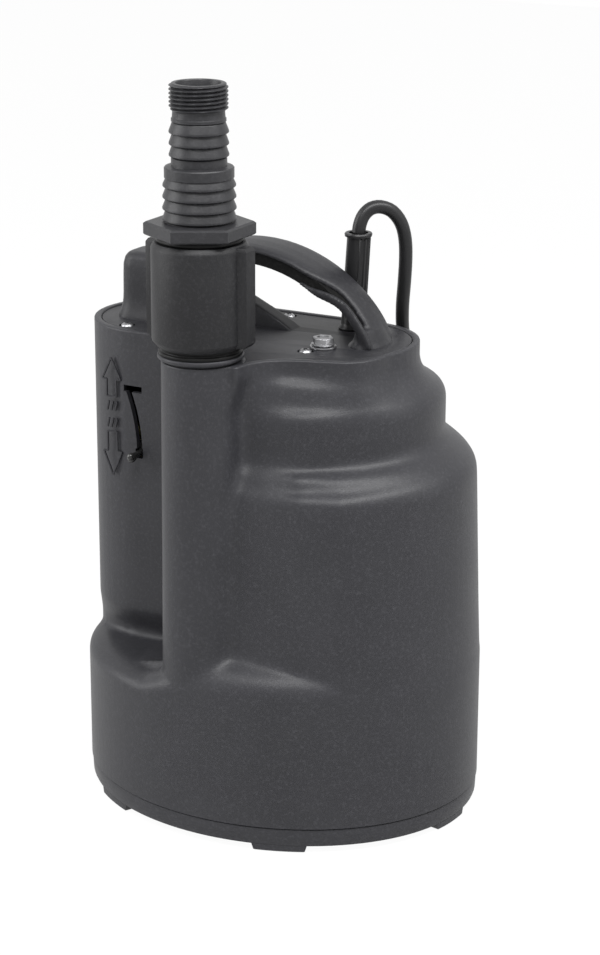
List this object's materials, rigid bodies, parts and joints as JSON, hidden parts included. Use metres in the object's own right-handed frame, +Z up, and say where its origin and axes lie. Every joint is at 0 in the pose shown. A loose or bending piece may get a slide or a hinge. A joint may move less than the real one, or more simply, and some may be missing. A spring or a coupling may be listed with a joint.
{
  "type": "submersible clean water pump",
  "caption": "Submersible clean water pump: stepped oval housing, built-in float switch, carrying handle, upright outlet with coupling and stepped hose adapter, mains cable with plug.",
  "frame": {"origin": "on the floor, under the middle of the oval base, on the face of the central foot", "axes": "+Z up, along the outlet; +X along the length of the oval base and the handle, from the float chamber towards the motor; -Y towards the discharge tube, which is the front"},
  "size_m": [0.2502, 0.3033, 0.356],
  "materials": {
    "body_plastic": "matte",
    "fitting_plastic": "satin",
    "black_plastic": "glossy",
    "inner_plastic": "matte",
    "seal_rubber": "matte",
    "cable_rubber": "satin",
    "plated_brass": "polished",
    "impeller_plastic": "satin",
    "brass_nut": "satin",
    "shaft_steel": "polished",
    "seal_carbon": "matte",
    "seal_ceramic": "glossy",
    "cast_aluminium": "cast",
    "bearing_steel": "polished",
    "core_steel": "laminated",
    "copper_wire": "enamelled",
    "can_steel": "satin",
    "capacitor_case": "satin",
    "float_foam": "matte",
    "magnet_ferrite": "matte",
    "screw_steel": "bright"
  },
  "bodies": {
    "pump": {"base_plate": "body_plastic", "base_screws": "screw_steel", "housing": "body_plastic", "pump_chamber_floor": "inner_plastic", "pump_chamber": "inner_plastic", "chamber_seal": "seal_rubber", "shaft_seal_seat": "seal_ceramic", "oil_chamber": "cast_aluminium", "lower_bracket": "cast_aluminium", "lower_bearing_outer": "bearing_steel", "stator_core": "core_steel", "stator_windings": "copper_wire", "motor_can": "can_steel", "upper_bracket": "cast_aluminium", "upper_bearing_outer": "bearing_steel", "motor_cap": "inner_plastic", "motor_cap_seal": "seal_rubber", "capacitor": "capacitor_case", "float_rod": "shaft_steel", "reed_switch": "inner_plastic", "top_cover": "body_plastic", "cover_screws": "screw_steel", "cap_bolt": "screw_steel", "cap_bolt_washer": "screw_steel", "cable_sleeve": "cable_rubber", "outlet_seal": "seal_rubber", "coupling": "fitting_plastic", "flap_pin": "shaft_steel", "adapter_seal": "seal_rubber", "hose_adapter": "fitting_plastic", "cable": "cable_rubber", "cable_coil": "cable_rubber", "cable_tail": "cable_rubber", "plug_body": "cable_rubber", "plug_pins": "plated_brass"},
    "rotor": {"impeller": "impeller_plastic", "impeller_nut": "brass_nut", "shaft": "shaft_steel", "shaft_seal_ring": "seal_carbon", "shaft_seal_spring": "shaft_steel", "lower_bearing_inner": "bearing_steel", "lower_bearing_balls": "bearing_steel", "rotor_core": "core_steel", "rotor_end_rings": "cast_aluminium", "upper_bearing_inner": "bearing_steel", "upper_bearing_balls": "bearing_steel"},
    "float": {"float": "float_foam", "float_magnet": "magnet_ferrite"},
    "selector": {"selector": "black_plastic"},
    "flap": {"check_flap": "seal_rubber"}
  },
  "joints": [
    {"name": "rotor_spin", "type": "hinge", "parent": "pump", "child": "rotor", "pos_m": [0.013, 0, 0.1], "axis": [0, 0, 1], "continuous": true},
    {"name": "float_rise", "type": "slide", "parent": "pump", "child": "float", "axis": [0, 0, 1], "range_m": [0, 0.0258]},
    {"name": "selector_swing", "type": "hinge", "parent": "pump", "child": "selector", "pos_m": [-0.1382, -0.037, 0.171], "axis": [0, -1, 0], "range_deg": [0, 20.5]},
    {"name": "flap_swing", "type": "hinge", "parent": "pump", "child": "flap", "pos_m": [-0.0206, -0.065, 0.2515], "axis": [0, -1, 0], "range_deg": [0, 60]}
  ],
  "couplings": [
    {"joint": "selector_swing", "follows": "float_rise", "rad_per_m": 13.86}
  ]
}
